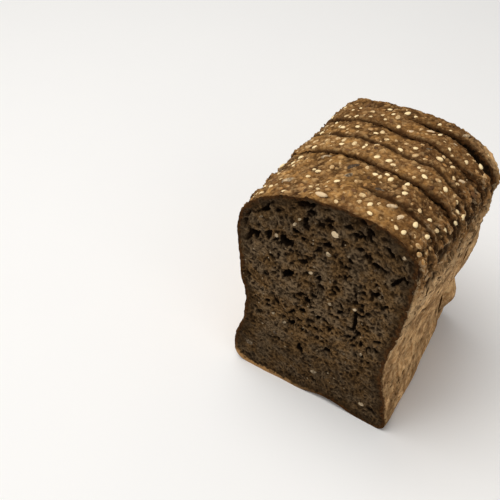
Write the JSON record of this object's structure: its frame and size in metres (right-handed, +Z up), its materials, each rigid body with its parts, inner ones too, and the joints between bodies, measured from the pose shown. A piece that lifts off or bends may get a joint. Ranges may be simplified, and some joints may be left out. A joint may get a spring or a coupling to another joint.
{
  "type": "sliced multigrain bread half loaf",
  "caption": "Half of a dark multigrain tin loaf, cut across and sliced, with seeds baked on its domed crust and a porous cut face.",
  "frame": {"origin": "centre of the bounding box in plan, on the surface that the loaf stands on", "axes": "+Z up; -Y is the way the cut crumb face looks; +Y runs along the loaf through the slices to the heel; +X to the right seen from the cut face"},
  "size_m": [0.0954, 0.1042, 0.1255],
  "materials": {
    "bread": "matt golden-brown crust with seeds, dark porous crumb on the cut faces",
    "seed": "smooth cream, brown and dark seeds, slightly shiny"
  },
  "bodies": {
    "root": {"slice_1": "bread", "slice_2": "bread", "slice_3": "bread", "slice_4": "bread", "slice_5": "bread", "heel": "bread"}
  },
  "joints": []
}
